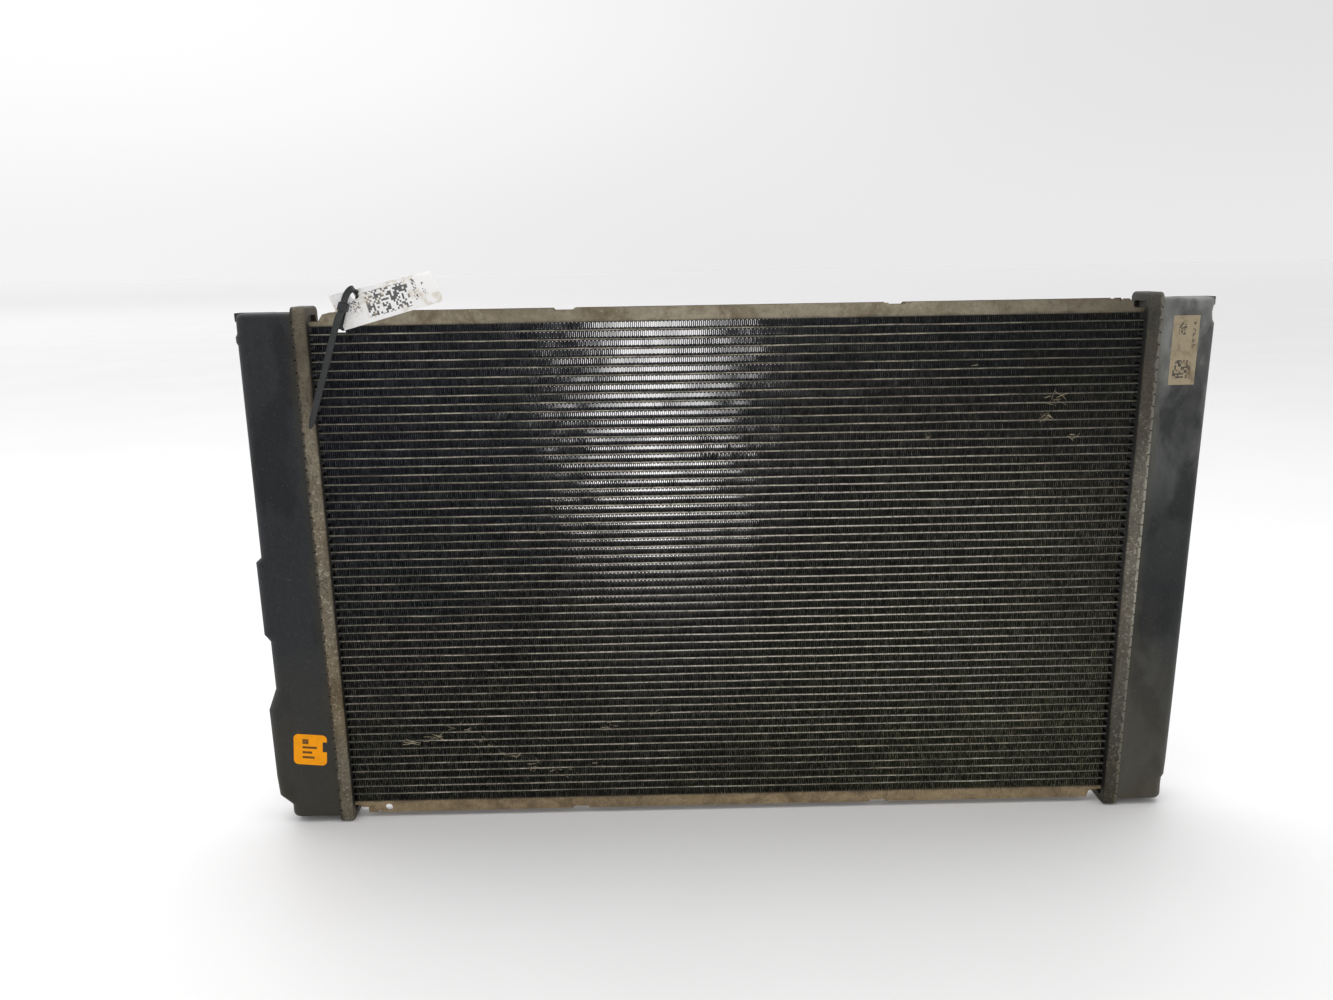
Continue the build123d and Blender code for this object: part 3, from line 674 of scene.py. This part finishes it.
def cable_tie(material):
    """Ratchet head, twisted loop round the top side plate and through the tag, and the long tail."""
    arch, back = Vector((0.75, 0.0, -0.66)), Vector((1.0, 0, 0.0))
    loop = [(down_tail(3.0, 10.0), LEVEL), (down_tail(9.0, 9.7), LEVEL), (down_tail(15.5, 9.2), LEVEL),
            (down_tail(17.6, 7.0), LEVEL), (down_tail(17.9, 0), LEVEL), (down_tail(17.6, -7.0), LEVEL),
            (down_tail(15.5, -9.3), LEVEL), (tie_point(-291.5, 410.0, -9.6), back),
            (tie_point(-286.4, 418.0, -8.4), back), (tie_point(-284.0, 421.6, -4.5), back),
            (tie_point(-283.0, 423.8, 2.0), back.lerp(arch, 0.4)), (tie_point(-282.5, 424.8, 8.6), arch),
            (tie_point(-281.5, 426.9, 10.6), arch), (tie_point(-281.7, 428.4, 12.8), arch),
            (tie_point(-283.5, 428.1, 14.8), arch), (tie_point(-286.0, 425.6, 15.9), arch),
            (tie_point(-288.4, 421.6, 15.6), arch.lerp(LEVEL, 0.6)),
            (tie_point(-290.4, 417.4, 14.0), LEVEL)]
    line = smooth_path([point for point, _ in loop], 0.9 * mm)
    turning = resample([Vector(a) for _, a in loop], line, [p for p, _ in loop])
    made, faces = strap(line, [tie_width] * len(line), turning, False)
    band = new_mesh("tie_band", made, faces)

    tail = [down_tail(2, 12.6), down_tail(4.2, 15.6), down_tail(8.4, 18.0), down_tail(16.4, 19.1),
            down_tail(31, 19.3), down_tail(51, 19.0), down_tail(73, 19.2), down_tail(89, 19.3),
            down_tail(96.5, 19.4)]
    line = smooth_path(tail, 0.75 * mm)
    widths = []
    for k in range(len(line)):
        left = min(1.0, (len(line) - 1 - k) / tip_points)
        widths.append(tie_width * (tip_share + (1 - tip_share) * left))
    made, faces = strap(line, widths, [LEVEL] * len(line), True)
    free_end = new_mesh("tie_tail", made, faces)

    bm = bmesh.new()
    bmesh.ops.create_cube(bm, size=1.0)
    up = Vector((math.sin(tail_lean), 0, math.cos(tail_lean)))
    centre = down_tail(0, 12.1)
    for v in bm.verts:
        c = v.co.copy()
        v.co = (centre + LEVEL * c.x * head_width + Vector((0, 1, 0)) * c.y * head_depth
                + up * c.z * head_height)
    bmesh.ops.bevel(bm, geom=bm.edges[:], offset=0.9 * mm, segments=3, affect="EDGES", profile=0.6)
    head_mesh = bpy.data.meshes.new("tie_head")
    bm.to_mesh(head_mesh)
    bm.free()
    head = bpy.data.objects.new("tie_head", head_mesh)
    bpy.context.scene.collection.objects.link(head)

    joined = join([band, free_end, head], "cable_tie_strap")
    return finish_piece(joined, material, replaces=["cable_tie"], smooth=40)


def resample(values, line, knots):
    """A value at each point of a line, blended between the values set at its knots."""
    result, k = [], 0
    for point in line:
        while k < len(knots) - 2 and (point - knots[k + 1]).length < (point - knots[k]).length \
                and (point - knots[k + 1]).dot(knots[k + 1] - knots[k]) > 0:
            k += 1
        run = knots[k + 1] - knots[k]
        t = min(1.0, max(0.0, (point - knots[k]).dot(run) / run.length_squared))
        result.append(values[k].lerp(values[k + 1], t))
    return result


def join(objects, name):
    """One mesh object from several, all at the origin."""
    bm = bmesh.new()
    for obj in objects:
        bm.from_mesh(obj.data)
    mesh = bpy.data.meshes.new(name)
    bm.to_mesh(mesh)
    bm.free()
    for obj in objects:
        bpy.data.objects.remove(obj)
    result = bpy.data.objects.new(name, mesh)
    bpy.context.scene.collection.objects.link(result)
    return result


tag_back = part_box("paper_tag")[1].y
TAG_TURN = math.radians(14.0)
TAG_CORNERS = [tie_point(x, z, 8.45)
               for x, z in ((-292.8, 397.2), (-213.4, 418.6), (-225.2, 440.2), (-303.0, 423.3))]
TAG_CENTRE = sum(TAG_CORNERS, Vector()) / 4
TAG_HOLE = tie_point(-283.1, 424.1, 8.6)
TAG_HOLE_RADIUS = 3.6 * mm
TAG_THICKNESS = 0.3 * mm
TAG_HELD = 0.36                       # share of the length, from the hole's end, that lies flat
TAG_CURL, TAG_RIPPLE = 10.0 * mm, 0.8 * mm


def paper_tag(material):
    """Card tag with one hole, out of square, curling forward at its free end, most at its lower edge."""
    columns, rows = 90, 28
    bottom_left, bottom_right, top_right, top_left = TAG_CORNERS
    points, faces = [], []
    for r in range(rows + 1):
        for c in range(columns + 1):
            a, b = c / columns, r / rows
            point = bottom_left.lerp(bottom_right, a).lerp(top_left.lerp(top_right, a), b)
            free = max(0.0, a - TAG_HELD) / (1 - TAG_HELD)
            ripple = noise.noise(Vector((a * 5, b * 1.6, 4.0)))
            lift = TAG_CURL * free ** 1.6 * (1 - b) ** 0.8 + TAG_RIPPLE * (ripple + 0.6) * free
            points.append((point.x, tag_back - max(0.0, lift), point.z))
    for r in range(rows):
        for c in range(columns):
            k = r * (columns + 1) + c
            faces.append((k, k + 1, k + columns + 2, k + columns + 1))
    obj = new_mesh("tag_card", points, faces)

    def from_hole(p):
        return Vector((p[0] - TAG_HOLE.x, 0, p[2] - TAG_HOLE.z))

    bm = bmesh.new()
    bm.from_mesh(obj.data)
    bm.faces.ensure_lookup_table()
    gone = [f for f in bm.faces if from_hole(f.calc_center_median()).length < TAG_HOLE_RADIUS]
    bmesh.ops.delete(bm, geom=gone, context="FACES")
    for v in bm.verts:
        away = from_hole(v.co)
        if v.is_boundary and away.length < TAG_HOLE_RADIUS + 1.2 * mm and v.co.z < tie_point(0, 428.0, 0).z:
            edge = away.normalized() * TAG_HOLE_RADIUS
            v.co.x, v.co.z = TAG_HOLE.x + edge.x, TAG_HOLE.z + edge.z
    bm.to_mesh(obj.data)
    bm.free()
    solid = obj.modifiers.new("thickness", "SOLIDIFY")
    solid.thickness = TAG_THICKNESS
    solid.offset = 1.0
    apply_modifiers(obj)
    ahead = max(v.co.y for v in obj.data.vertices if v.co.x < TAG_HOLE.x)
    obj.data.transform(Matrix.Translation((0, tag_back - ahead, 0)))
    return finish_piece(obj, material, body="tag", replaces=["paper_tag"], smooth=35)


def neck_bead(name, x, z, material):
    """Rounded ring near a hose neck's open end, which keeps the hose on."""
    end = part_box("right_tank")[1].y
    # radius and distance from the end, in millimetres
    profile = [(16.9, 7.4), (17.5, 7.0), (18.2, 5.9), (18.4, 5.2), (18.2, 4.5), (17.6, 3.8), (16.9, 3.4)]
    turns, n = 72, len(profile)
    points = [(x + r * mm * math.cos(t), end - back * mm, z + r * mm * math.sin(t))
              for t in np.arange(turns) * 2 * math.pi / turns for r, back in profile]
    faces = []
    for turn in range(turns):
        this, following = turn * n, (turn + 1) % turns * n
        faces += [(this + k, this + (k + 1) % n, following + (k + 1) % n, following + k) for k in range(n)]
    return finish_piece(new_mesh(name, points, faces), material, smooth=50)


def straws(material):
    """Tufts of dry grass caught in the fins."""
    rng = random.Random(5)
    steps = 8                                        # along each straw
    # x, height, number of straws, spread and reach, in millimetres
    tufts = [(257, 334, 9, 7, 9), (251, 320, 10, 4, 6), (273, 303, 4, 6, 6), (-268, 53, 5, 5, 9),
             (-249, 57, 7, 7, 9), (-190, 42, 3, 2, 5), (-102, 65, 8, 7, 5), (157, 306, 3, 1, 6),
             (192, 362, 1, 1, 7), (-60, 76, 3, 5, 4), (60, 262, 2, 4, 6), (-150, 235, 2, 5, 5),
             (-228, 66, 6, 9, 7), (-206, 52, 7, 9, 6), (-184, 40, 6, 9, 6), (-160, 30, 7, 10, 6),
             (-136, 22, 5, 8, 5), (-112, 30, 3, 8, 5)]
    made_points, made_faces, start = [], [], 0
    for x, z, count, spread, reach in tufts:
        for _ in range(count):
            angle = rng.uniform(-1.1, 1.3)
            length = rng.uniform(0.5, 1.3) * reach * mm
            origin = tie_point(x + rng.uniform(-1, 1) * spread, z + rng.uniform(-0.5, 0.5) * spread, 8.5)
            bow = rng.uniform(-0.25, 0.25) * length
            line = []
            for k in range(steps + 1):
                t = k / steps - 0.5
                ahead, aside = length * t, bow * (0.25 - t * t)
                line.append(origin + Vector((math.cos(angle) * ahead - math.sin(angle) * aside,
                                             -0.4 * mm * math.cos(3 * t),
                                             math.sin(angle) * ahead + math.cos(angle) * aside)))
            radius = rng.uniform(0.14, 0.30) * mm
            rings = []
            for k, p in enumerate(line):
                taper = radius * (1.0 - 0.7 * abs(k / steps - 0.5))
                rings.append([(p.x, p.y + taper * math.cos(a), p.z + taper * math.sin(a))
                              for a in (0, math.pi / 2, math.pi, 3 * math.pi / 2)])
            points, faces = strip(np.array(rings))
            made_points.append(points)
            made_faces += [tuple(v + start for v in f) for f in faces]
            start += len(points)
    obj = new_mesh("straw_bits", np.concatenate(made_points), made_faces)
    return finish_piece(obj, material, smooth=60)


def straw_look():
    look = Look("dry_grass", roughness=0.8, specular=0.3)
    look.colour(look.ramp(look.noise(200.0), (0.3, (0.26, 0.21, 0.12)), (0.7, (0.60, 0.54, 0.40))))
    look.bump(look.noise(1500.0), 0.05 * mm, 0.4)
    return look.mat


# ---------------------------------------------------------------- materials on the CAD parts

def paint(node, material):
    data = frame["nodes"][node].data
    data.materials.clear()
    data.materials.append(material)
    for polygon in data.polygons:
        polygon.material_index = 0


def box_centre(node):
    low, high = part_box(node)
    return ((low + high) / 2)[:]


paint("left_header", header_aluminium(
    "left_header_aluminium", seed=3.0, light=(0.27, 0.235, 0.165), dark=(0.12, 0.10, 0.068),
    # dark hooks: painted shade in the rolled crimp edge; dark walls: painted shade beside the core
    stain=(0.13, 0.10, 0.065), hooks=(0.035, 0.03, 0.023), wall_shade_tone=(0.022, 0.022, 0.021),
    shade=((0.0, 0.74), (0.12, 0.80), (0.26, (0.76, 0.67, 0.54)), (0.42, 0.95), (0.75, 1.0), (0.88, 0.67))))
paint("right_header", header_aluminium(
    "right_header_aluminium", seed=8.0, light=(0.22, 0.205, 0.165), dark=(0.095, 0.088, 0.070),
    stain=(0.15, 0.125, 0.085), hooks=(0.42, 0.40, 0.33), wall_shade_tone=(0.040, 0.041, 0.040),
    shade=((0.0, (0.32, 0.31, 0.26)), (0.30, 0.48), (0.45, 0.84), (0.65, 0.78), (0.82, 0.41))))
paint("top_side_plate", plate_aluminium(
    "top_plate_aluminium", light=(0.36, 0.32, 0.235), dark=(0.22, 0.19, 0.13),
    stain=(0.15, 0.115, 0.065), grime=0.35, right_end=0.75))
paint("bottom_side_plate", plate_aluminium(
    "bottom_plate_aluminium", light=(0.36, 0.275, 0.160), dark=(0.22, 0.165, 0.092),
    stain=(0.15, 0.105, 0.055), grime=0.40, right_end=0.0))

left_plastic = tank_plastic(
    "left_tank_plastic", tone=(0.0115, 0.0130, 0.0155), dust=(0.032, 0.034, 0.036),
    film=((0.0, 0.9), (0.3, 0.5), (0.55, 0.15), (1.0, 0.6)), low_dust=(0.046, 0.041, 0.026), seed=2.0)
right_plastic = tank_plastic(
    "right_tank_plastic", tone=(0.0095, 0.0118, 0.0126), dust=(0.240, 0.246, 0.234),
    film=((0.0, 0.29), (0.3, 0.15), (0.45, 0.02), (0.60, 0.11), (0.72, 0.45), (0.86, 1.0)),
    low_dust=(0.080, 0.071, 0.047), seed=9.0)
paint("left_tank", left_plastic)
paint("right_tank", right_plastic)
neck_bead("left_neck_bead", -neck_out, outlet_height, left_plastic)
neck_bead("right_neck_bead", neck_out, inlet_height, right_plastic)
for node in ("left_gasket", "right_gasket", "drain_o_ring"):
    paint(node, rubber())
paint("drain_plug", black_nylon("drain_plastic"))

SOLID = 2.0                           # a share above 1 fills every block
paint("orange_sticker", printed_paper(
    "orange_film", (1.0, 0.37, 0.004), (0.05, 0.035, 0.02), box_centre("orange_sticker"), math.radians(-5),
    [((-0.0065, 0.0055), (0.0010, 0.0030), 0.0040, SOLID),
     ((-0.0065, 0.0015), (-0.0035, -0.0015), 0.0040, SOLID),
     ((-0.0065, 0.0035), (-0.0080, -0.0060), 0.0040, SOLID),
     ((-0.0065, -0.0015), (0.0050, 0.0095), 0.0040, SOLID)],
    dirt_colour=(0.60, 0.20, 0.010), dirt_amount=0.25, rough=0.5, gloss=0.12))
paint("inspection_label", printed_paper(
    "beige_film", (0.345, 0.287, 0.190), (0.05, 0.045, 0.04), box_centre("inspection_label"), 0.0,
    [((-0.0075, 0.0065), (-0.0215, -0.0075), 0.00125, 0.5),
     ((-0.0055, 0.0005), (0.012, 0.0215), 0.0008, 0.45),
     ((0.0055, 0.0078), (0.0, 0.0215), 0.0008, 0.5)],
    dirt_colour=(0.17, 0.125, 0.075), dirt_amount=0.75))

fin_look = fin_foil()
tube_look = tube_aluminium()
for bank in range(banks):
    tube_bank(bank, tube_look)
    fin_bank(bank, fin_look)
cable_tie(black_nylon("tie_nylon"))
paper_tag(printed_paper(
    "tag_card", (0.93, 0.925, 0.915), (0.022, 0.022, 0.024), TAG_CENTRE[:], TAG_TURN,
    [((-0.0165, 0.0180), (-0.0095, 0.0095), 0.00150, 0.5),
     ((-0.0300, -0.0215), (-0.0030, 0.0055), 0.0009, 0.35),
     ((0.0215, 0.0245), (-0.0060, 0.0100), 0.0010, 0.4), ((0.0290, 0.0310), (-0.0030, 0.0060), 0.0009, 0.4)],
    dirt_colour=(0.60, 0.52, 0.40), dirt_amount=0.8))
straws(straw_look())


# ---------------------------------------------------------------- stage, light and camera

def stage():
    bpy.ops.mesh.primitive_plane_add(size=120.0, location=(0, 0, 0))
    floor = bpy.context.object
    floor.name = "floor"
    floor.data.materials.append(plain_stage("floor_pale", (0.90, 0.898, 0.893), 0.45))


def area_light(name, place, target, size, power):
    data = bpy.data.lights.new(name, "AREA")
    data.shape = "RECTANGLE"
    data.size, data.size_y = size
    data.energy = power
    light = bpy.data.objects.new(name, data)
    light.location = place
    light.rotation_euler = (Vector(target) - Vector(place)).to_track_quat("-Z", "Y").to_euler()
    bpy.context.scene.collection.objects.link(light)


def world():
    """Pale room: one tone at the horizon, brighter to the left, and brightest above the back."""
    made = bpy.data.worlds.new("studio")
    bpy.context.scene.world = made
    made.use_nodes = True
    tree = made.node_tree
    split = tree.nodes.new("ShaderNodeSeparateXYZ")
    tree.links.new(tree.nodes.new("ShaderNodeTexCoord").outputs["Generated"], split.inputs[0])

    def span(axis, low, high, to_low, to_high):
        made = tree.nodes.new("ShaderNodeMapRange")
        for name, value in (("From Min", low), ("From Max", high), ("To Min", to_low), ("To Max", to_high)):
            made.inputs[name].default_value = value
        made.interpolation_type = "SMOOTHSTEP"
        tree.links.new(split.outputs[axis], made.inputs["Value"])
        return made.outputs["Result"]

    def blend(factor, a, b):
        made = tree.nodes.new("ShaderNodeMix")
        tree.links.new(factor, made.inputs["Factor"])
        tree.links.new(a, made.inputs["A"])
        tree.links.new(b, made.inputs["B"])
        return made.outputs["Result"]

    horizon = span("X", -0.55, 0.10, 0.91, 0.83)
    wall = span("X", -0.50, 0.60, 1.02, 0.76)
    above = span("Y", -0.7, 0.6, 0.25, 1.36)
    band = blend(span("Z", 0.0, 0.22, 0, 1), horizon, wall)
    tree.links.new(blend(span("Z", 0.24, 0.62, 0, 1), band, above),
                   tree.nodes["Background"].inputs["Strength"])
    tree.nodes["Background"].inputs["Color"].default_value = (1.0, 0.992, 1.0, 1)


def camera():
    data = bpy.data.cameras.new("camera")
    data.sensor_width = 36.0
    data.lens = 27.0
    data.clip_start, data.clip_end = 0.05, 100.0
    cam = bpy.data.objects.new("camera", data)
    cam.location = (-0.0563, -0.8044, 0.4583)
    cam.rotation_euler = [math.radians(a) for a in (76.69, 0.96, -0.73)]
    bpy.context.scene.collection.objects.link(cam)
    bpy.context.scene.camera = cam


stage()
world()
area_light("key", place=(-0.7, -1.5, 2.2), target=(0, 0, 0.1), size=(2.0, 1.6), power=7)
area_light("overhead", place=(0.1, -0.05, 2.8), target=(0.1, -0.05, 0), size=(3.8, 1.8), power=30)
area_light("left_floor", place=(-2.0, 0.8, 2.4), target=(-1.6, 0.8, 0), size=(2.0, 2.4), power=5)
area_light("back_left", place=(-6.0, 7.0, 5.0), target=(-5.0, 7.0, 0), size=(9.0, 8.0), power=80)
camera()
bpy.context.scene.view_settings.view_transform = "Standard"
